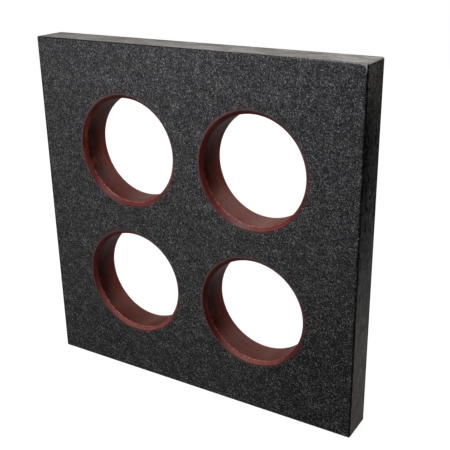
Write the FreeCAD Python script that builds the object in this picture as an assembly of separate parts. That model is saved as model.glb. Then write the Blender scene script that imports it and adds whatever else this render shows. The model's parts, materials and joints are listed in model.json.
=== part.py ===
import FreeCAD, Part

import os

# Granite square: one upright square plate of black granite with four round holes through it.
# Frame: millimetres, +Z up, front face towards -Y, right-hand side towards +X.
# Origin: middle of the bottom face, so that the plate stands on Z = 0.

# Driving dimensions

side_length = 500.0          # every side of the square, outside
plate_thickness = 50.0       # from the front face to the back face
hole_diameter = 150.0        # round holes through the plate
hole_pitch = 200.0           # centre to centre, across and up
mouth_chamfer = 5.0          # 45 degree chamfer at both mouths of each hole
edge_chamfer = 1.5           # 45 degree chamfer along the twelve outer edges
corner_facet = 3.0           # length taken off each edge where a corner is dressed flat
holes_across = 2             # columns of holes
holes_up = 2                 # rows of holes
tool_run_out = 2.0           # how far a cutting form runs past the face that it opens


def plate_blank():
    """The square slab, with its twelve edges chamfered."""
    corner = FreeCAD.Vector(-side_length / 2, -plate_thickness / 2, 0)
    slab = Part.makeBox(side_length, plate_thickness, side_length, corner)
    return slab.makeChamfer(edge_chamfer, slab.Edges)


def corner_wedge(x_sign, y_sign, at_top):
    """The small pyramid that is dressed off one corner of the slab, run out past the corner."""
    x_corner = x_sign * side_length / 2
    y_corner = y_sign * plate_thickness / 2
    z_corner = side_length if at_top else 0
    z_sign = 1 if at_top else -1
    reach = corner_facet + 3 * tool_run_out
    tip = FreeCAD.Vector(
        x_corner + x_sign * tool_run_out,
        y_corner + y_sign * tool_run_out,
        z_corner + z_sign * tool_run_out,
    )
    along_x = tip - FreeCAD.Vector(x_sign * reach, 0, 0)
    along_y = tip - FreeCAD.Vector(0, y_sign * reach, 0)
    along_z = tip - FreeCAD.Vector(0, 0, z_sign * reach)
    triangles = [
        (tip, along_x, along_y),
        (tip, along_y, along_z),
        (tip, along_z, along_x),
        (along_x, along_y, along_z),
    ]
    faces = [Part.Face(Part.makePolygon([a, b, c, a])) for a, b, c in triangles]
    wedge = Part.Solid(Part.makeShell(faces))
    return wedge if wedge.Volume > 0 else wedge.reversed()


def corner_wedges():
    """One wedge for each of the eight corners."""
    return [
        corner_wedge(x_sign, y_sign, at_top)
        for x_sign in (-1, 1)
        for y_sign in (-1, 1)
        for at_top in (False, True)
    ]


def hole_form():
    """The void of one hole, turned about the Y axis: a straight bore that flares at both mouths."""
    bore_radius = hole_diameter / 2
    flare_radius = bore_radius + mouth_chamfer + tool_run_out
    face_y = plate_thickness / 2
    outline = [
        (0, -face_y - tool_run_out),
        (flare_radius, -face_y - tool_run_out),
        (bore_radius, -face_y + mouth_chamfer),
        (bore_radius, face_y - mouth_chamfer),
        (flare_radius, face_y + tool_run_out),
        (0, face_y + tool_run_out),
    ]
    points = [FreeCAD.Vector(radius, y, 0) for radius, y in outline]
    profile = Part.Face(Part.makePolygon(points + points[:1]))
    return profile.revolve(FreeCAD.Vector(0, 0, 0), FreeCAD.Vector(0, 1, 0), 360)


def hole_centres():
    """Centres of the holes: a square grid about the middle of the plate."""
    first_x = -hole_pitch * (holes_across - 1) / 2
    first_z = side_length / 2 - hole_pitch * (holes_up - 1) / 2
    return [
        FreeCAD.Vector(first_x + column * hole_pitch, 0, first_z + row * hole_pitch)
        for row in range(holes_up)
        for column in range(holes_across)
    ]


def hole_voids():
    """The hole form, copied to each centre."""
    voids = []
    for centre in hole_centres():
        void = hole_form()
        void.translate(centre)
        voids.append(void)
    return voids


def granite_square():
    """The finished plate as one solid."""
    plate = plate_blank().cut(corner_wedges() + hole_voids())
    return plate.Solids[0]


def report_solid(name, solid):
    """Prints what the solid measures."""
    box = solid.BoundBox
    size = f"{box.XLength:.2f} x {box.YLength:.2f} x {box.ZLength:.2f} mm"
    print(f"{name}: {size}, {solid.Volume / 1000:.1f} cm3, valid {solid.isValid()}")


os.makedirs("parts", exist_ok=True)
plate = granite_square()
plate.exportStep("parts/granite_square.step")
report_solid("granite_square", plate)
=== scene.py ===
# Granite square, dressed: black granite with four painted bores, on a pale table.
import json
import math
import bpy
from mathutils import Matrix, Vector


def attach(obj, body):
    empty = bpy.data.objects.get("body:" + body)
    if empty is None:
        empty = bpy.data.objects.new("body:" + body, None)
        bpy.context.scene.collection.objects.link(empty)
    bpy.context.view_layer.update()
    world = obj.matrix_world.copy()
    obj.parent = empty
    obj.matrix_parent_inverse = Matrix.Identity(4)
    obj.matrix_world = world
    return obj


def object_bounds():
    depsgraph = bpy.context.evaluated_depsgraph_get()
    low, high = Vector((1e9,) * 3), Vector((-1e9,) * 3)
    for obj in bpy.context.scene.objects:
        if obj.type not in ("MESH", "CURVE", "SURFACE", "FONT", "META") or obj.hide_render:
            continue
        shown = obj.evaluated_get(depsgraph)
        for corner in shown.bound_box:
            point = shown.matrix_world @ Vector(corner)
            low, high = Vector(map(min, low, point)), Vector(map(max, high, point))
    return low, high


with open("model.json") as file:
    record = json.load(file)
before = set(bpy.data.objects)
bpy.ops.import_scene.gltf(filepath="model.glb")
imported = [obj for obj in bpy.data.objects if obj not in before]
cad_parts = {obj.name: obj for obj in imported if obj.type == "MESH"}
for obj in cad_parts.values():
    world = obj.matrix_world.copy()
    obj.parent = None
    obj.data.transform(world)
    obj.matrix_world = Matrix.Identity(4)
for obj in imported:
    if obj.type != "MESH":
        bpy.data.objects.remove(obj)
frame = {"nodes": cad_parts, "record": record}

from types import SimpleNamespace

import bpy
from mathutils import Matrix, Vector, noise

mm = 0.001
stone = frame["nodes"]["granite_square"]
cadLow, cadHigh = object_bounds()
middle = (cadLow + cadHigh) / 2
halfSide = (cadHigh.x - cadLow.x) / 2
halfThickness = (cadHigh.y - cadLow.y) / 2
bores = [mount for mount in frame["record"]["mounts"] if mount["kind"] == "bore"]
boreRadius = bores[0]["dims"]["r_mm"] * mm
mouthDepth = halfThickness - bores[0]["dims"]["length_mm"] * mm / 2   # how deep the 45 degree mouth goes
mouthRadius = boreRadius + mouthDepth
borePitch = max(bore["pos_m"][0] for bore in bores)                    # from the middle line to a bore
print("frame:", len(frame["nodes"]), "node,", len(bores), "bores")


# Small helpers for node trees
def setSocket(tree, socket, value):
    if isinstance(value, bpy.types.NodeSocket):
        tree.links.new(value, socket)
    else:
        socket.default_value = value


def putNode(tree, kind, inputs=None, **settings):
    node = tree.nodes.new(kind)
    for name, value in settings.items():
        setattr(node, name, value)
    for name, value in (inputs or {}).items():
        setSocket(tree, node.inputs[name], value)
    return node


def putMath(tree, operation, *values, clamp=False):
    inputs = dict(enumerate(values))
    return putNode(tree, "ShaderNodeMath", inputs, operation=operation, use_clamp=clamp).outputs[0]


def putTimes(tree, first, *others):
    for other in others:
        first = putMath(tree, "MULTIPLY", first, other)
    return first


def putLength(tree, across, up):
    squares = putTimes(tree, across, across), putTimes(tree, up, up)
    return putMath(tree, "SQRT", putMath(tree, "ADD", *squares))


def putVector(tree, operation, *values, result="Vector"):
    inputs = dict(enumerate(values))
    return putNode(tree, "ShaderNodeVectorMath", inputs, operation=operation).outputs[result]


# Turns a value into another by smooth steps between stops, which are pairs: a value and what it becomes
def putRamp(tree, value, *stops):
    (start, result), *others = stops
    for stop, becomes in others:
        result = putNode(tree, "ShaderNodeMapRange", {
            "Value": value, "From Min": start, "From Max": stop, "To Min": result, "To Max": becomes,
        }, interpolation_type="SMOOTHSTEP").outputs["Result"]
        start = stop
    return result


def putNoise(tree, place, size, detail=2.0, **inputs):
    return putNode(tree, "ShaderNodeTexNoise", {
        "Vector": place, "Scale": 1 / size, "Detail": detail, **inputs}).outputs["Fac"]


def putPattern(tree, place, size, detail, *stops):
    return putRamp(tree, putNoise(tree, place, size, detail), *stops)


def putMix(tree, factor, first, second, blend="MIX"):
    mix = putNode(tree, "ShaderNodeMix", data_type="RGBA", blend_type=blend)
    for place, value in ((0, factor), (6, first), (7, second)):
        setSocket(tree, mix.inputs[place], value)
    return mix.outputs[2]


def putShade(tree, colour, shade):
    grey = putNode(tree, "ShaderNodeCombineXYZ", {0: shade, 1: shade, 2: shade}).outputs[0]
    return putMix(tree, 1.0, colour, grey, "MULTIPLY")


def putParts(tree, vector):
    return putNode(tree, "ShaderNodeSeparateXYZ", {0: vector}).outputs


def putPlace(tree):                          # the surface point, in millimetres
    place = putNode(tree, "ShaderNodeTexCoord").outputs["Object"]
    return putNode(tree, "ShaderNodeMapping", {"Vector": place, "Scale": (1 / mm, 1 / mm, 1 / mm)}).outputs[0]


def putFacing(tree):
    return putNode(tree, "ShaderNodeNewGeometry").outputs["Normal"]


def newGroup(name, inputs, outputs):
    group = bpy.data.node_groups.new(name, "ShaderNodeTree")
    for label, value in inputs.items():
        kind = "NodeSocketVector" if isinstance(value, tuple) else "NodeSocketFloat"
        group.interface.new_socket(label, in_out="INPUT", socket_type=kind).default_value = value
    for label in outputs:
        group.interface.new_socket(label, in_out="OUTPUT", socket_type="NodeSocketFloat")
    return group, group.nodes.new("NodeGroupInput").outputs, group.nodes.new("NodeGroupOutput").inputs


def newMaterial(name):
    material = bpy.data.materials.new(name)
    material.use_nodes = True
    tree = material.node_tree
    tree.nodes.clear()
    return material, tree, putNode(tree, "ShaderNodeOutputMaterial").inputs["Surface"]


# Crystals that all lean one way, each with a tone of its own
def crystalGroup():
    defaults = {"Place": (0, 0, 0), "Turn": (0, 0, 0), "Length": 3.0, "Width": 1.0}
    group, given, out = newGroup("Crystals", defaults, ["Tone", "Shade"])
    turned = putNode(group, "ShaderNodeVectorRotate", {
        "Vector": given["Place"], "Rotation": given["Turn"]}, rotation_type="EULER_XYZ").outputs[0]
    size = putNode(group, "ShaderNodeCombineXYZ", {
        0: given["Length"], 1: given["Width"], 2: given["Width"]}).outputs[0]
    shrunk = putVector(group, "DIVIDE", turned, size)
    cells = putNode(group, "ShaderNodeTexVoronoi", {"Vector": shrunk, "Scale": 1.0}).outputs["Color"]
    tones = putNode(group, "ShaderNodeSeparateColor", {0: cells}).outputs
    group.links.new(tones[0], out["Tone"])
    group.links.new(tones[1], out["Shade"])
    return group


# Fine lines drawn out along one or two axes, as a grinding wheel or a brush leaves them
def streakGroup():
    group, given, out = newGroup("Streaks", {"Place": (0, 0, 0), "Reach": (1, 1, 1)}, ["Value"])
    drawn = putVector(group, "DIVIDE", given["Place"], given["Reach"])
    fine = putNoise(group, drawn, 1.0, 3.0, Roughness=0.6)
    group.links.new(fine, out["Value"])
    return group


crystals = crystalGroup()
streaks = streakGroup()


def putCrystals(tree, place, turn, length, width):
    return putNode(tree, "ShaderNodeGroup", {
        "Place": place, "Turn": turn, "Length": length, "Width": width}, node_tree=crystals).outputs


def putStreaks(tree, place, reach):
    return putNode(tree, "ShaderNodeGroup", {"Place": place, "Reach": reach}, node_tree=streaks).outputs[0]


granite = {
    "dark": (0.0075, 0.0075, 0.0076, 1),     # pyroxene
    "dull": (0.0205, 0.0204, 0.0202, 1),     # dull plagioclase
    "pale": (0.1900, 0.1900, 0.1935, 1),     # bright laths
    "glint": (0.4400, 0.4400, 0.4450, 1),    # the odd cleavage face
    "warmFleck": (1.015, 1.00, 0.98, 1), "coolFleck": (0.985, 1.00, 1.015, 1),
    "warmTint": (1.0, 0.994, 0.962, 1), "coolTint": (0.990, 0.983, 1.045, 1),
    "haze": (0.0420, 0.0392, 0.0365, 1),     # the ground sides are paler and warmer
    "stain": (0.0470, 0.0360, 0.0320, 1),    # brown patches on the ground sides
    "broken": (0.0030, 0.0030, 0.0030, 1),   # chips
    "backLine": (0.0060, 0.0048, 0.0040, 1),
    "wear": (0.090, 0.088, 0.084, 1), "wearShare": 0.25, "nickShare": 0.6,
    # painted highlight at the top right corner
    "paintedHighlight": (0.250, 0.250, 0.250, 1),
    "smear": (0.115, 0.038, 0.032, 1),       # thin paint on the broad faces
    # sizes, in millimetres
    "lathLength": 2.2, "lathWidth": 0.60, "speckSize": 0.95,
    "arris": 1.5,                            # width of the chamfers
    "highlightCorner": (250, -25, 500), "cornerRound": 5.5,      # the corner with the painted highlight
    "lineReach": (60.0, 0.8, 60.0), "passReach": (24.0, 5.0, 11.0),
    "sideLength": 4.25, "sideWidth": 2.5,    # grains of the ground sides
    "tintSize": 23.0, "grainSize": 0.9,      # of the noise in the tint and in the relief
    "farOff": 99.0,                          # stands for no arris near by
    "ragged": {"size": 2.2, "detail": 3.0, "Roughness": 0.7},
    "chips": {"size": 4.6, "detail": 4.0, "Roughness": 0.72},
    # shares
    "lathTurns": ((0.3, 0.5, 0.9), (1.2, -0.7, 2.3), (-0.8, 1.1, 4.0)), "lathFade": 0.06,
    "flat": 0.95, "upward": 0.5,             # how squarely a face looks along its axis, how far up a lip does
    # painted shade in the lower right of the front, on the ground and on the laths
    "lowRightGround": -0.60, "lowRightLaths": -0.20, "leastGround": 0.1,
    # painted cool light, growing towards the right and the top
    "coolerAcross": 0.0003, "coolerUp": 0.0009,
    "lidHaze": 0.66, "chamferShade": 0.36,   # the lapped chamfers show the stone darker
    "smearLean": (-1.0, -0.15),              # to the left and down, as the brush was wiped
    "roughness": {"broad": 0.46, "side": 0.36, "chamfer": 0.25}, "roughMarks": 0.35, "roughPasses": 0.45,
    "shine": 0.17, "chamferShine": 0.08, "leastShine": 0.05, "shinePasses": -1.5,
    "lineShine": 0.35, "lidSpread": 0.35, "meanGrain": 0.505,
    "lineRelief": 0.6, "bump": {"Strength": 0.35, "Distance": 0.00002},
    # noise: size in millimetres, detail, then stops
    "patterns": {
        "threshold": (14.0, 3.0, (0.35, 0.942), (0.70, 0.908)),   # laths stand closer in clusters
        "cloud": (2.4, 2.0, (0.32, 0.35), (0.68, 1.75)),
        "mottle": (11.0, 3.0, (0.3, 0.86), (0.7, 1.14)),
        "fleck": (3.4, 1.0, (0.35, 0.0), (0.65, 1.0)),
        "stain": (29.0, 3.0, (0.49, 0.0), (0.63, 0.75)),
        "smearWobble": (6.0, 3.0, (0.3, -0.9), (0.7, 0.9)),
        "smearPatch": (3.0, 2.0, (0.3, 0.55), (0.6, 1.0)),
        "uneven": (1.3, 2.0, (0.3, -0.04), (0.7, 0.04)),
    },
    # stops over height, in millimetres
    "height": {
        # painted shade on the front: the ground darker at the foot, the laths at the foot and the top
        "lower": ((120, 1.0), (330, 0.0)),
        "ground": ((0, 0.42), (240, 1.26)),
        "laths": ((0, 0.92), (240, 1.0), (500, 0.90)),
        "flankHaze": ((120, 0.90), (400, 0.18)),
        # painted shade on the ends: lighter at the foot and the top, darker between, and darker along the front
        "flankPaintedShade": ((95, 2.20), (308, 0.26), (400, 0.26), (500, 1.90)),
        "paintedFrontShade": ((190, 0.0), (370, 0.72), (410, 0.72), (480, -0.15)),
        "spread": ((100, 0.25), (400, 3.4)),
    },
    # stops over other lengths, in millimetres
    "rightward": ((30, 0.0), (240, 1.0)),
    # painted shade: the lid darker towards the back; the ends darker at the front than the back
    "lidPaintedShade": ((-25, 1.08), (25, 0.66)), "backward": ((-22, -1.0), (12, 1.0)),
    "backLineDepth": ((20.9, 0.0), (22.5, 0.85)),
    "smearRing": ((79.2, 0.0), (79.8, 1.0), (80.9, 1.0), (83.6, 0.0)), "wiped": ((-50, 0.2), (55, 1.0)),
    "chipped": ((-0.2, 0.0), (0.2, 0.95)),
    "roundEdge": ((-1.8, 0.0), (-0.4, 1.0)), "roundFade": ((5.0, 1.0), (14.0, 0.0)),
    "lipFade": ((8.0, 0.3), (70.0, 0.0)), "fleckFade": ((30.0, 0.55), (340.0, 0.0)),
    # stops over tones and noise
    "dullShare": ((0.2, 0.0), (1.0, 1.0)), "glintPick": ((0.955, 0.0), (0.99, 1.0)),
    "cooler": ((0.66, 0.0), (0.98, 1.0)),
    "lineShade": ((0.3, 0.84), (0.7, 1.16)), "passShade": ((0.32, 0.80), (0.66, 1.13)),
    "wearReach": ((0.35, 0.1), (0.75, 1.21)), "chipReach": ((0.38, 0.1), (0.68, 1.9)),
    "nicks": ((0.66, 0.0), (0.74, 1.0)), "lipFlecks": ((0.50, 0.0), (0.62, 1.0)),
}


# Mineral colours of the stone, before any finish
def putStoneColour(tree, place):
    patterns, overHeight = granite["patterns"], granite["height"]
    sideways, _, height = putParts(tree, place)
    threshold = putPattern(tree, place, *patterns["threshold"])
    laths = 0.0
    for turn in granite["lathTurns"]:
        tone, shade = putCrystals(tree, place, turn, granite["lathLength"], granite["lathWidth"])
        above = putMath(tree, "SUBTRACT", tone, threshold)
        chosen = putMath(tree, "DIVIDE", above, granite["lathFade"], clamp=True)
        laths = putMath(tree, "MAXIMUM", laths, chosen)
    cells = putNode(tree, "ShaderNodeTexVoronoi", {"Vector": place, "Scale": 1 / granite["speckSize"]})
    speck = putNode(tree, "ShaderNodeSeparateColor", {0: cells.outputs["Color"]}).outputs
    # painted shade: the ground is darker at the foot and in the lower right of the front, the laths a little
    # darker there too
    ground = putMix(tree, putRamp(tree, speck[0], *granite["dullShare"]), granite["dark"], granite["dull"])
    lower = putRamp(tree, height, *overHeight["lower"])
    paintedLowRightShade = putTimes(tree, putRamp(tree, sideways, *granite["rightward"]), lower)
    groundPaintedShade = putRamp(tree, height, *overHeight["ground"])
    groundPaintedShade = putMath(tree, "MULTIPLY_ADD", paintedLowRightShade, granite["lowRightGround"], groundPaintedShade)
    groundPaintedShade = putMath(tree, "MAXIMUM", groundPaintedShade, granite["leastGround"])
    cloud = putPattern(tree, place, *patterns["cloud"])
    ground = putShade(tree, ground, putTimes(tree, cloud, groundPaintedShade))
    lathsPaintedShade = putMath(tree, "MULTIPLY_ADD", paintedLowRightShade, granite["lowRightLaths"], 1.0)
    laths = putTimes(tree, laths, putRamp(tree, height, *overHeight["laths"]), lathsPaintedShade)
    colour = putMix(tree, laths, ground, granite["pale"])
    glints = putRamp(tree, speck[1], *granite["glintPick"])
    glints = putTimes(tree, glints, putRamp(tree, shade, *granite["dullShare"]))
    colour = putMix(tree, glints, colour, granite["glint"])
    colour = putShade(tree, colour, putPattern(tree, place, *patterns["mottle"]))
    fleck = putPattern(tree, place, *patterns["fleck"])
    fleck = putMix(tree, fleck, granite["warmFleck"], granite["coolFleck"])
    return putMix(tree, 1.0, colour, fleck, "MULTIPLY")


# Which finish a face has follows from the way it faces
def stoneFaces(tree):
    facing = putParts(tree, putVector(tree, "ABSOLUTE", putFacing(tree)))
    flank, broad, lid = [putMath(tree, "GREATER_THAN", part, granite["flat"]) for part in facing]
    side = putMath(tree, "ADD", lid, flank)
    chamfer = putMath(tree, "SUBTRACT", 1.0, putMath(tree, "ADD", broad, side), clamp=True)
    lip = putTimes(tree, chamfer, putMath(tree, "GREATER_THAN", facing[2], granite["upward"]))
    return SimpleNamespace(flank=flank, broad=broad, lid=lid, side=side, chamfer=chamfer, lip=lip)


# Distances in millimetres, folded so that the four quarters of the plate are one
def stoneSpots(tree, place):
    x, y, z = putParts(tree, place)
    high = putMath(tree, "SUBTRACT", z, middle.z / mm)
    across, deep, up = [putMath(tree, "ABSOLUTE", part) for part in (x, y, high)]
    sideEdge, faceEdge = [half / mm - granite["arris"] for half in (halfSide, halfThickness)]
    offX, offZ = [putMath(tree, "SUBTRACT", part, borePitch / mm) for part in (across, up)]
    return SimpleNamespace(
        x=x, y=y, z=z, high=high, offX=offX, offZ=offZ, fromBore=putLength(tree, offX, offZ),
        toEnd=putMath(tree, "SUBTRACT", sideEdge, across),
        toLid=putMath(tree, "SUBTRACT", sideEdge, up),
        toFace=putMath(tree, "SUBTRACT", faceEdge, deep),
        ragged=putNoise(tree, place, **granite["ragged"]))


# A random tint, with painted cool light: the broad faces are a little cooler towards the top and the right
def putTint(tree, place, faces, spots, colour):
    cooler = putMath(tree, "MULTIPLY_ADD", spots.x, granite["coolerAcross"],
                     putNoise(tree, place, granite["tintSize"]))
    cooler = putMath(tree, "MULTIPLY_ADD", spots.z, granite["coolerUp"], cooler)
    cooler = putTimes(tree, faces.broad, putRamp(tree, cooler, *granite["cooler"]))
    tint = putMix(tree, cooler, granite["warmTint"], granite["coolTint"])
    return putMix(tree, 1.0, colour, tint, "MULTIPLY")


# The sides are ground: fine lengthwise lines and broad passes of the wheel; painted shade makes the ends darker
# along the front and lighter along the back, in colour and shine
def putGrinding(tree, place, faces, spots):
    lines = putStreaks(tree, place, granite["lineReach"])
    passes = putRamp(tree, putStreaks(tree, place, granite["passReach"]), *granite["passShade"])
    dulled = putTimes(tree, faces.side, putMath(tree, "SUBTRACT", 1.0, passes))
    paintedFrontShade = putTimes(tree, faces.flank, putRamp(tree, spots.z, *granite["height"]["paintedFrontShade"]))
    paintedEndShade = putMath(tree, "MULTIPLY_ADD", putRamp(tree, spots.y, *granite["backward"]), paintedFrontShade, 1.0)
    return SimpleNamespace(lines=lines, passes=passes, dulled=dulled, paintedEndShade=paintedEndShade)


# A pale haze lies on the ground sides, thinner towards the top of the ends
def putSides(tree, place, faces, spots, grinding, colour):
    overHeight = granite["height"]
    stained = putPattern(tree, place, *granite["patterns"]["stain"])
    haze = putMix(tree, stained, granite["haze"], granite["stain"])
    share = putMath(tree, "MULTIPLY_ADD", faces.flank, putRamp(tree, spots.z, *overHeight["flankHaze"]),
                    putTimes(tree, faces.lid, granite["lidHaze"]))
    colour = putMix(tree, share, colour, haze)
    # painted shade: the lid darker towards the back, the ends lighter at the foot and the top, darker between
    lidPaintedShade = putRamp(tree, spots.y, *granite["lidPaintedShade"])
    flankPaintedShade = putTimes(tree, putRamp(tree, spots.z, *overHeight["flankPaintedShade"]), grinding.paintedEndShade)
    shade = putMath(tree, "MULTIPLY_ADD", faces.lid, lidPaintedShade, putTimes(tree, faces.flank, flankPaintedShade))
    lined = putTimes(tree, putRamp(tree, grinding.lines, *granite["lineShade"]), grinding.passes)
    shade = putMath(tree, "MULTIPLY_ADD", shade, lined, putMath(tree, "SUBTRACT", 1.0, faces.side))
    shade = putMath(tree, "MULTIPLY_ADD", faces.chamfer, granite["chamferShade"] - 1, shade)
    return putShade(tree, colour, shade)


# How far a point is from the arris between the broad faces and one kind of side
def putToArris(tree, faces, spots, onBroad, side, otherSide):
    near = putMath(tree, "MULTIPLY_ADD", faces.broad, onBroad, putTimes(tree, side, spots.toFace))
    elsewhere = putMath(tree, "ADD", faces.chamfer, otherSide)
    return putMath(tree, "MULTIPLY_ADD", elsewhere, granite["farOff"], near)


# The arrises along the lid are rubbed light, those along the ends are chipped dark
def putWear(tree, place, faces, spots, colour):
    edge = putToArris(tree, faces, spots, spots.toLid, faces.lid, faces.flank)
    worn = putMath(tree, "LESS_THAN", edge, putRamp(tree, spots.ragged, *granite["wearReach"]))
    colour = putMix(tree, putTimes(tree, worn, granite["wearShare"]), colour, granite["wear"])
    chips = putNoise(tree, place, **granite["chips"])
    edge = putToArris(tree, faces, spots, spots.toEnd, faces.flank, faces.lid)
    chipped = putMath(tree, "SUBTRACT", putRamp(tree, chips, *granite["chipReach"]), edge)
    chipped = putRamp(tree, chipped, *granite["chipped"])
    colour = putMix(tree, chipped, colour, granite["broken"])
    nicks = putTimes(tree, faces.chamfer, putRamp(tree, spots.ragged, *granite["nicks"]), granite["nickShare"])
    return putMix(tree, nicks, colour, granite["wear"]), chipped


# A thin smear of paint round each bore, strongest on the left, where the brush was wiped
def putSmear(tree, place, faces, spots, colour):
    patterns = granite["patterns"]
    radius = putMath(tree, "ADD", spots.fromBore, putPattern(tree, place, *patterns["smearWobble"]))
    leanX, leanZ = granite["smearLean"]
    leftward = putTimes(tree, spots.offX, putMath(tree, "SIGN", spots.x))
    upward = putTimes(tree, spots.offZ, putMath(tree, "SIGN", spots.high), leanZ)
    lean = putMath(tree, "MULTIPLY_ADD", leftward, leanX, upward)
    ring = putTimes(tree, putRamp(tree, radius, *granite["smearRing"]), faces.broad,
                    putPattern(tree, place, *patterns["smearPatch"]), putRamp(tree, lean, *granite["wiped"]))
    return putMix(tree, ring, colour, granite["smear"])


# Painted highlight where the top right corner catches light: its field lighter in a rounded patch, and the
# upward chamfers near it
def putCornerHighlight(tree, place, faces, spots, colour):
    fromCorner = putVector(tree, "DISTANCE", place, granite["highlightCorner"], result="Value")
    inwards = [putMath(tree, "SUBTRACT", granite["cornerRound"], way) for way in (spots.toEnd, spots.toLid)]
    inwards = [putMath(tree, "MAXIMUM", way, 0.0) for way in inwards]
    beyond = putMath(tree, "SUBTRACT", putLength(tree, *inwards), granite["cornerRound"])
    rounded = putTimes(tree, putRamp(tree, beyond, *granite["roundEdge"]), faces.broad,
                       putRamp(tree, fromCorner, *granite["roundFade"]))
    flecked = putTimes(tree, faces.lip, putRamp(tree, fromCorner, *granite["fleckFade"]),
                       putRamp(tree, spots.ragged, *granite["lipFlecks"]))
    lipped = putTimes(tree, faces.lip, putRamp(tree, fromCorner, *granite["lipFade"]))
    paintedHighlight = putMath(tree, "MAXIMUM", rounded, putMath(tree, "MAXIMUM", lipped, flecked))
    return putMix(tree, paintedHighlight, colour, granite["paintedHighlight"])


def putRoughness(tree, place, faces, grinding, marks):
    rough = granite["roughness"]
    roughness = putMath(tree, "MULTIPLY_ADD", faces.side, rough["side"] - rough["broad"], rough["broad"])
    roughness = putMath(tree, "MULTIPLY_ADD", faces.chamfer, rough["chamfer"] - rough["broad"], roughness)
    roughness = putMath(tree, "MULTIPLY_ADD", marks, granite["roughMarks"], roughness)
    roughness = putMath(tree, "ADD", roughness, putPattern(tree, place, *granite["patterns"]["uneven"]))
    return putMath(tree, "MULTIPLY_ADD", grinding.dulled, granite["roughPasses"], roughness)


# Grains of the sides take the grinding unequally, most of all near the top of the ends
def putShine(tree, place, faces, spots, grinding):
    lapped = granite["chamferShine"] - granite["shine"]
    shine = putMath(tree, "MULTIPLY_ADD", faces.chamfer, lapped, granite["shine"])
    upright = (0, math.pi / 2, 0)
    grain = putCrystals(tree, place, upright, granite["sideLength"], granite["sideWidth"])["Tone"]
    coarse = putMath(tree, "MULTIPLY_ADD", grinding.lines, granite["lineShine"], putTimes(tree, grain, grain))
    spread = putRamp(tree, spots.z, *granite["height"]["spread"])
    spread = putMath(tree, "MULTIPLY_ADD", faces.flank, spread,
                     putTimes(tree, faces.lid, granite["lidSpread"]))
    unequal = putMath(tree, "SUBTRACT", coarse, granite["meanGrain"])
    unequal = putMath(tree, "MULTIPLY_ADD", unequal, spread, 1.0)
    unequal = putMath(tree, "MULTIPLY_ADD", grinding.dulled, granite["shinePasses"], unequal)
    return putTimes(tree, shine, grinding.paintedEndShade, putMath(tree, "MAXIMUM", unequal, granite["leastShine"]))


def graniteMaterial():
    material, tree, surface = newMaterial("black_granite")
    place = putPlace(tree)
    faces = stoneFaces(tree)
    spots = stoneSpots(tree, place)
    grinding = putGrinding(tree, place, faces, spots)
    colour = putTint(tree, place, faces, spots, putStoneColour(tree, place))
    colour = putSides(tree, place, faces, spots, grinding, colour)
    colour, chipped = putWear(tree, place, faces, spots, colour)
    colour = putSmear(tree, place, faces, spots, colour)
    colour = putCornerHighlight(tree, place, faces, spots, colour)
    # the sides go dark in a thin line along the back
    backLine = putTimes(tree, putRamp(tree, spots.y, *granite["backLineDepth"]), faces.side)
    colour = putMix(tree, backLine, colour, granite["backLine"])
    roughness = putRoughness(tree, place, faces, grinding, putMath(tree, "MAXIMUM", backLine, chipped))
    shine = putShine(tree, place, faces, spots, grinding)
    relief = putMath(tree, "MULTIPLY_ADD", grinding.lines, granite["lineRelief"],
                     putNoise(tree, place, granite["grainSize"]))
    bump = putNode(tree, "ShaderNodeBump", {"Height": relief, **granite["bump"]}).outputs[0]
    shader = putNode(tree, "ShaderNodeBsdfPrincipled", {
        "Base Color": colour, "Roughness": roughness, "Specular IOR Level": shine, "Normal": bump})
    tree.links.new(shader.outputs[0], surface)
    return material


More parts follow.
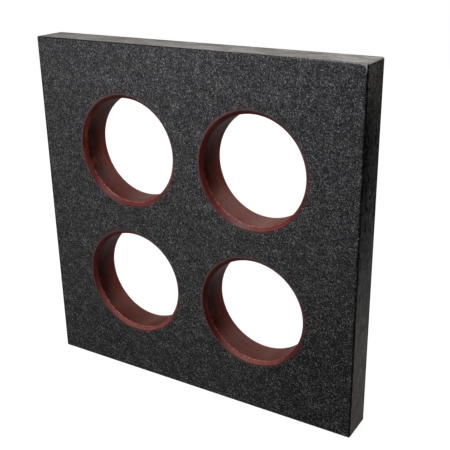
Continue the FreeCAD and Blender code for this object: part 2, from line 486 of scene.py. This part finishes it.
paint = {
    "film": 0.25, "lip": 0.03, "bead": 0.8,  # millimetres: thickness, the same at the edge, ridge radius
    "segments": 256, "wallSteps": 12, "slopeSteps": 4, "beadTurns": (45, 30, 15, 0),
    "wobble": 0.45, "wobbleSize": 14.0, "wobbleBand": 2.5,    # millimetres, and lips
    "weld": 0.001,                           # millimetres
    "smoothAngle": 35,                       # degrees
    "wall": (0.108, 0.0170, 0.0125, 1),
    "primer": (0.115, 0.0420, 0.0250, 1),    # brown undercoat that shows through in patches
    "paleBack": (0.112, 0.0580, 0.0490, 1),     # paler and greyer towards the back of the wall
    "mouth": (0.122, 0.0262, 0.0210, 1),     # beside the wall
    "rim": (0.116, 0.0302, 0.0264, 1),       # at the face
    "deep": (0.122, 0.0190, 0.0150, 1),      # painted shade on the left of the mouths
    # painted highlight on the ridge
    "paintedHighlight": (0.420, 0.1600, 0.1300, 1),
    "dustAndLight": (0.310, 0.1100, 0.0930, 1),
    "brushReach": (26.0, 0.9, 26.0), "bandReach": (44.0, 2.8, 44.0),         # millimetres
    "leftLean": (0.98, 0.18),                # the left side, a little above its middle
    "leftMouth": 0.72,                       # painted shade: tone of the mouth there
    "roughness": 0.40, "shine": 0.07,
    "peelSize": 1.6, "peelRelief": 0.5, "bump": {"Strength": 0.5, "Distance": 0.00006},
    # stops over depth, in millimetres; the first two and ridgeNear count from the ridge
    "mouthStart": ((-0.15, 0.0), (0.25, 1.0)), "rimStart": ((1.2, 0.0), (3.9, 1.0)),
    "ridgeNear": ((0.35, 1.0), (1.0, 0.0)), "shadowDepth": ((-12, 1.0), (16, 0.0)),
    # tones at the front and at the back of the wall, which is lighter towards the back, the first pair as
    # painted shade
    "paintedWallShade": (0.64, 1.16), "paleBackDepth": (0.0, 0.5), "dustDepth": (1.0, 0.45),
    # tones on the wall and on the mouth
    "upwardTone": (0.70, 0.80), "patchDepth": (0.6, 1.5), "strokeDepth": (0.9, 2.2),
    # stops over the way that the surface faces, most of them for painted shade and painted highlight
    "shadowFrom": (0.72, 0.97), "paleBackLeft": ((0.60, 1.0), (0.95, 0.45)), "deepLeft": ((0.36, 0.0), (0.66, 0.8)),
    "mouthFrom": (0.52, 0.69), "wallFrom": (0.86, 0.55), "wallMiddle": 0.89,
    "wallRight": ((0.10, 1.0), (-0.26, 1.28)),
    "upwardFrom": (0.1, 0.7), "highlightUp": ((0.15, 0.08), (0.85, 0.58)),
    # noise and stops over it
    "primerPatches": (21.0, 3.0, (0.52, 0.0), (0.66, 0.35)), "patches": (24.0, 4.0), "ragged": (4.0, 3.0),
    "bandShade": ((0.3, 0.80), (0.7, 1.20)), "raggedHighlight": ((0.38, 0.0), (0.62, 1.0)),
    "raggedDust": ((0.25, 0.5), (0.6, 1.0)), "roughBrush": ((0.3, -0.05), (0.7, 0.05)),
    # each bore has tones of its own, partly painted light and shade: tones of the mouth and of the wall's left,
    # dust with painted light on the mouth and on the wall, how far up a surface must face before dust begins to
    # lie and lies thick, and how dark the painted shadow on the wall's left is at its strongest
    "bores": {
        "lower_left_hole": {
            "mouth": 0.86, "wall": 1.00, "dustAndLight": (0.38, 0.02), "tilt": (0.05, 0.60), "shadowStrength": 0.72},
        "lower_right_hole": {
            "mouth": 0.69, "wall": 1.00, "dustAndLight": (0.46, 0.06), "tilt": (0.42, 0.72), "shadowStrength": 0.70},
        "upper_left_hole": {
            "mouth": 0.97, "wall": 1.14, "dustAndLight": (0.02, 0.00), "tilt": (0.05, 0.60), "shadowStrength": 0.77},
        "upper_right_hole": {
            "mouth": 0.83, "wall": 1.12, "dustAndLight": (0.12, 0.16), "tilt": (0.30, 0.72), "shadowStrength": 0.50},
    },
}


def paintMaterial(bore):
    own = paint["bores"][bore["name"]]
    material, tree, surface = newMaterial(bore["name"].replace("hole", "paint"))
    place = putPlace(tree)
    depth = putParts(tree, place)[1]
    facing = putParts(tree, putFacing(tree))
    brush = putStreaks(tree, place, paint["brushReach"])
    bands = putRamp(tree, putStreaks(tree, place, paint["bandReach"]), *paint["bandShade"])
    ragged = putNoise(tree, place, *paint["ragged"])
    ridge = (halfThickness - mouthDepth) / mm
    outward = putMath(tree, "SUBTRACT", putMath(tree, "ABSOLUTE", depth), ridge)   # from the ridge to the face
    mouth = putRamp(tree, outward, *paint["mouthStart"])

    def alongWall(front, back):
        return putRamp(tree, depth, (-ridge, front), (ridge, back))

    def byPart(onWall, onMouth):
        return putRamp(tree, mouth, (0, onWall), (1, onMouth))

    # painted shadow: the wall's paint is darker on the left towards the front
    leanX, leanZ = paint["leftLean"]
    leftward = putMath(tree, "MULTIPLY_ADD", facing[0], leanX, putTimes(tree, facing[2], leanZ))
    shadowFrom, shadowTo = paint["shadowFrom"]
    paintedShadow = putRamp(tree, leftward, (shadowFrom, 0.0), (shadowTo, own["shadowStrength"]))
    paintedShadow = putTimes(tree, paintedShadow, putRamp(tree, depth, *paint["shadowDepth"]))
    paintedWallShade = putTimes(tree, alongWall(*paint["paintedWallShade"]), putMath(tree, "SUBTRACT", 1.0, paintedShadow))
    wall = putShade(tree, paint["wall"], paintedWallShade)
    wall = putMix(tree, putPattern(tree, place, *paint["primerPatches"]), wall, paint["primer"])
    # the wall is paler and greyer towards the back, less so on the left
    paleBack = putTimes(tree, alongWall(*paint["paleBackDepth"]), putRamp(tree, leftward, *paint["paleBackLeft"]))
    wall = putMix(tree, paleBack, wall, paint["paleBack"])
    # painted shade by the way the wall faces: the left wall takes the bore's own tone, the right wall is
    # lighter
    wallLeft, wallLow = paint["wallFrom"]
    facingPaintedShade = putRamp(tree, facing[0], (wallLeft, own["wall"]), (wallLow, paint["wallMiddle"]))
    facingPaintedShade = putTimes(tree, facingPaintedShade, putRamp(tree, facing[0], *paint["wallRight"]))
    wall = putShade(tree, wall, facingPaintedShade)

    # painted shade: the mouth is darker on the left
    mouthColour = putMix(tree, putRamp(tree, outward, *paint["rimStart"]), paint["mouth"], paint["rim"])
    mouthColour = putMix(tree, putRamp(tree, leftward, *paint["deepLeft"]), mouthColour, paint["deep"])
    mouthFrom, mouthTo = paint["mouthFrom"]
    mouthLeft = paint["leftMouth"] * own["mouth"]
    mouthPaintedShade = putRamp(tree, leftward, (mouthFrom, own["mouth"]), (mouthTo, mouthLeft))
    colour = putMix(tree, mouth, wall, putShade(tree, mouthColour, mouthPaintedShade))

    # what faces up is darker; patches, brush lines, a painted highlight on the ridge, and dust with painted
    # light lie over all
    upwardFrom, upwardTo = paint["upwardFrom"]
    upwardTone = putRamp(tree, facing[2], (upwardFrom, 1.0), (upwardTo, byPart(*paint["upwardTone"])))
    colour = putShade(tree, colour, upwardTone)
    patches = putMath(tree, "SUBTRACT", putNoise(tree, place, *paint["patches"]), 0.5)
    patches = putMath(tree, "MULTIPLY_ADD", patches, byPart(*paint["patchDepth"]), 1.0)
    strokes = putMath(tree, "SUBTRACT", brush, 0.5)
    strokes = putMath(tree, "MULTIPLY_ADD", strokes, byPart(*paint["strokeDepth"]), 1.0)
    colour = putShade(tree, colour, putTimes(tree, patches, strokes, bands))
    # painted highlight along the ridge, most where it faces up
    paintedHighlight = putTimes(tree, putRamp(tree, putMath(tree, "ABSOLUTE", outward), *paint["ridgeNear"]),
                      putRamp(tree, ragged, *paint["raggedHighlight"]), putRamp(tree, facing[2], *paint["highlightUp"]))
    colour = putMix(tree, paintedHighlight, colour, paint["paintedHighlight"])
    # dust lies on what faces up; its share, set bore by bore, also paints light there
    dustFrom, dustTo = own["tilt"]
    onMouth, onWall = own["dustAndLight"]
    dustAndLight = putTimes(tree, putRamp(tree, facing[2], (dustFrom, 0.0), (dustTo, 1.0)), byPart(onWall, onMouth),
                    alongWall(*paint["dustDepth"]), putRamp(tree, ragged, *paint["raggedDust"]))
    colour = putMix(tree, dustAndLight, colour, paint["dustAndLight"])

    roughness = putMath(tree, "ADD", paint["roughness"], putRamp(tree, brush, *paint["roughBrush"]))
    peel = putNoise(tree, place, paint["peelSize"])
    relief = putMath(tree, "MULTIPLY_ADD", peel, paint["peelRelief"], brush)
    bump = putNode(tree, "ShaderNodeBump", {"Height": relief, **paint["bump"]}).outputs[0]
    shader = putNode(tree, "ShaderNodeBsdfPrincipled", {
        "Base Color": colour, "Roughness": roughness, "Specular IOR Level": paint["shine"], "Normal": bump})
    tree.links.new(shader.outputs[0], surface)
    return material


# The section of the film as points (radius, depth towards the front): its face from the front edge
# to the back edge, then its hidden side on the stone back to where it began.
def filmSection():
    film, lip, bead = paint["film"] * mm, paint["lip"] * mm, paint["bead"] * mm
    wall = boreRadius - film
    edge = (mouthRadius - lip, halfThickness - lip)
    ridge = halfThickness - mouthDepth + film * (math.sqrt(2) - 1)    # where the film's two faces would meet
    swell = (mouthRadius - film * math.sqrt(2), halfThickness - lip * 2)
    reach = bead * math.tan(math.radians(45 / 2))
    front = [edge, swell]
    for step in range(1, paint["slopeSteps"]):
        share = step / paint["slopeSteps"]
        front.append(tuple(a + (b - a) * share for a, b in zip(swell, (wall, ridge))))
    for turn in paint["beadTurns"]:          # round the ridge
        angle = math.radians(turn)
        front.append((wall + bead * (1 - math.cos(angle)), ridge - reach + bead * math.sin(angle)))
    steps = paint["wallSteps"]
    inside = [(wall, (ridge - reach) * (1 - 2 * step / steps)) for step in range(1, steps)]
    hidden = [
        (mouthRadius, -halfThickness + lip), (boreRadius + lip, -halfThickness + mouthDepth),
        (boreRadius + lip, halfThickness - mouthDepth), (mouthRadius, halfThickness - lip),
    ]
    return front + inside + [(radius, -depth) for radius, depth in reversed(front)] + hidden


def makePaint(bore):
    x, y, z = bore["pos_m"]
    section = filmSection()
    bpy.ops.object.select_all(action="DESELECT")
    bpy.ops.mesh.primitive_circle_add(vertices=paint["segments"], radius=section[0][0],
                                      location=(x, y - section[0][1], z), rotation=(math.radians(90), 0, 0))
    piece = bpy.context.object
    piece.name = piece.data.name = bore["name"].replace("hole", "paint")
    bpy.ops.object.transform_apply(location=True, rotation=True, scale=True)
    bpy.ops.object.mode_set(mode="EDIT")
    bpy.ops.mesh.select_all(action="SELECT")
    for (radius, depth), (nextRadius, nextDepth) in zip(section, section[1:] + section[:1]):
        bpy.ops.mesh.extrude_edges_move(TRANSFORM_OT_translate={"value": (0, depth - nextDepth, 0)})
        ratio = nextRadius / radius
        bpy.ops.transform.resize(value=(ratio, 1, ratio), center_override=(x, y - nextDepth, z))
    bpy.ops.mesh.select_all(action="SELECT")
    bpy.ops.mesh.remove_doubles(threshold=paint["weld"] * mm)
    bpy.ops.mesh.normals_make_consistent(inside=False)
    bpy.ops.object.mode_set(mode="OBJECT")
    # the brush left the edge of the paint a little uneven on the 45 degree mouth
    for vertex in piece.data.vertices:
        if abs(vertex.co.y) > halfThickness - paint["wobbleBand"] * paint["lip"] * mm:
            out = Vector((vertex.co.x - x, 0, vertex.co.z - z)).normalized()
            spot = Vector((x, vertex.co.y, z)) + out * mouthRadius
            back = paint["wobble"] * mm * max(0.0, 0.5 + noise.noise(spot / (paint["wobbleSize"] * mm)))
            vertex.co -= out * back + Vector((0, math.copysign(back, vertex.co.y), 0))
    piece.data.materials.append(paintMaterial(bore))
    bpy.ops.object.shade_smooth_by_angle(angle=math.radians(paint["smoothAngle"]))
    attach(piece, "root")


blackGranite = graniteMaterial()
for slot in stone.material_slots:
    slot.material = blackGranite
print("stone dressed")
for bore in bores:
    makePaint(bore)
print("paint laid in", len(bores), "bores")


studio = {
    "table": 16.0, "tableDrop": 0.0002,      # metres across, and just under the stone
    "tableColour": (0.40, 0.40, 0.40, 1),
    "litShare": 0.45,                        # how much of the lit table, with the shadow, the camera sees
    "white": ((0.5, 0.90), (1.6, 1.0)),      # the table's own light, over metres from the middle
    "room": 0.02,                            # light of the dim room
    "warmLight": (1.0, 0.967, 0.905), "whiteLight": (1, 1, 1), "coolLight": (0.990, 0.984, 1.020),
    "lamps": {                               # light, azimuth, elevation, distance, width, height, spread, watts
        "backSheetA": ("warmLight", -135, 20, 2.6, 1.2, 1.2, 180, 3.5),
        "backSheetB": ("warmLight", -148, 20, 2.6, 1.2, 1.2, 180, 0.8),
        "backSheetC": ("warmLight", -161, 20, 2.6, 1.2, 1.2, 180, 4.7),
        "backSheetD": ("warmLight", -174, 20, 2.6, 1.2, 1.2, 180, 3.6),
        "backRightLamp": ("warmLight", 157, 32, 1.9, 1.2, 0.8, 90, 2.4),
        "overheadLamp": ("whiteLight", 180, 75, 1.5, 1.6, 0.8, 60, 0.5),
        "rightHighLamp": ("whiteLight", 112, 60, 1.5, 0.8, 0.8, 60, 1.4),
        "frontLowLeftLamp": ("whiteLight", -45, 3, 2.4, 1.0, 0.5, 180, 4.4),
        "frontLowLamp": ("whiteLight", -20, 3, 2.4, 1.0, 0.5, 180, 7.6),
        "frontHighLamp": ("coolLight", -10, 62, 0.95, 0.3, 0.3, 120, 3.9),
        "edgeLamp": ("whiteLight", -43, 77, 1.58, 0.25, 0.25, 60, 0.7),
    },
}


def makeTable():
    bpy.ops.object.select_all(action="DESELECT")
    bpy.ops.mesh.primitive_plane_add(size=studio["table"], location=(0, 0, -studio["tableDrop"]))
    table = bpy.context.object
    table.name = "table"
    bpy.ops.object.transform_apply(location=True, rotation=True, scale=True)
    material, tree, surface = newMaterial("pale_table")
    place = putNode(tree, "ShaderNodeTexCoord").outputs["Object"]
    white = putRamp(tree, putVector(tree, "LENGTH", place, result="Value"), *studio["white"])
    camera = putNode(tree, "ShaderNodeLightPath").outputs["Is Camera Ray"]
    lit = putNode(tree, "ShaderNodeBsdfDiffuse", {"Color": studio["tableColour"]}).outputs[0]
    dark = putNode(tree, "ShaderNodeBsdfDiffuse", {"Color": (0, 0, 0, 1)}).outputs[0]
    hidden = putTimes(tree, camera, 1 - studio["litShare"])
    seen = putNode(tree, "ShaderNodeMixShader", {0: hidden, 1: lit, 2: dark}).outputs[0]
    glow = putNode(tree, "ShaderNodeEmission", {"Strength": putTimes(tree, camera, white)}).outputs[0]
    both = putNode(tree, "ShaderNodeAddShader", {0: seen, 1: glow}).outputs[0]
    tree.links.new(both, surface)
    table.data.materials.append(material)


def makeRoom():
    world = bpy.data.worlds.new("room")
    bpy.context.scene.world = world
    world.use_nodes = True
    tree = world.node_tree
    tree.nodes.clear()
    camera = putNode(tree, "ShaderNodeLightPath").outputs["Is Camera Ray"]
    light = putNode(tree, "ShaderNodeMapRange", {
        "Value": camera, "To Min": studio["room"], "To Max": 1.0}).outputs[0]
    background = putNode(tree, "ShaderNodeBackground", {"Color": (1, 1, 1, 1), "Strength": light}).outputs[0]
    tree.links.new(background, putNode(tree, "ShaderNodeOutputWorld").inputs["Surface"])


def direction(azimuth, elevation):
    around, above = math.radians(azimuth), math.radians(elevation)
    return Vector((math.sin(around) * math.cos(above), -math.cos(around) * math.cos(above), math.sin(above)))


def makeLamps():
    for name, (light, azimuth, elevation, away, width, height, spread, watts) in studio["lamps"].items():
        towards = direction(azimuth, elevation)
        bpy.ops.object.light_add(type="AREA", location=middle + towards * away,
                                 rotation=towards.to_track_quat("Z", "Y").to_euler())
        lamp = bpy.context.object
        lamp.name = name
        lamp.visible_camera = False
        lamp.data.shape = "RECTANGLE"
        lamp.data.size, lamp.data.size_y = width, height
        lamp.data.spread = math.radians(spread)
        lamp.data.energy = watts
        lamp.data.color = studio[light]


cameraView = {
    "place": (0.5702, -0.8531, 0.6524),
    "azimuth": 31.662, "down": 21.397, "roll": -0.889,   # degrees
    "lens": 62.71, "sensor": 36.0,                       # millimetres
}


def makeCamera():
    bpy.ops.object.camera_add()
    camera = bpy.context.object
    camera.name = "camera"
    camera.data.lens = cameraView["lens"]
    camera.data.sensor_width = cameraView["sensor"]
    turn = Matrix.Rotation(math.radians(cameraView["azimuth"]), 4, "Z")
    tilt = Matrix.Rotation(math.radians(90 - cameraView["down"]), 4, "X")
    roll = Matrix.Rotation(math.radians(cameraView["roll"]), 4, "Z")
    camera.matrix_world = Matrix.Translation(cameraView["place"]) @ turn @ tilt @ roll
    bpy.context.scene.camera = camera


makeTable()
makeRoom()
makeLamps()
makeCamera()
bpy.context.scene.view_settings.view_transform = "Standard"
print("studio set")

bpy.context.view_layer.update()
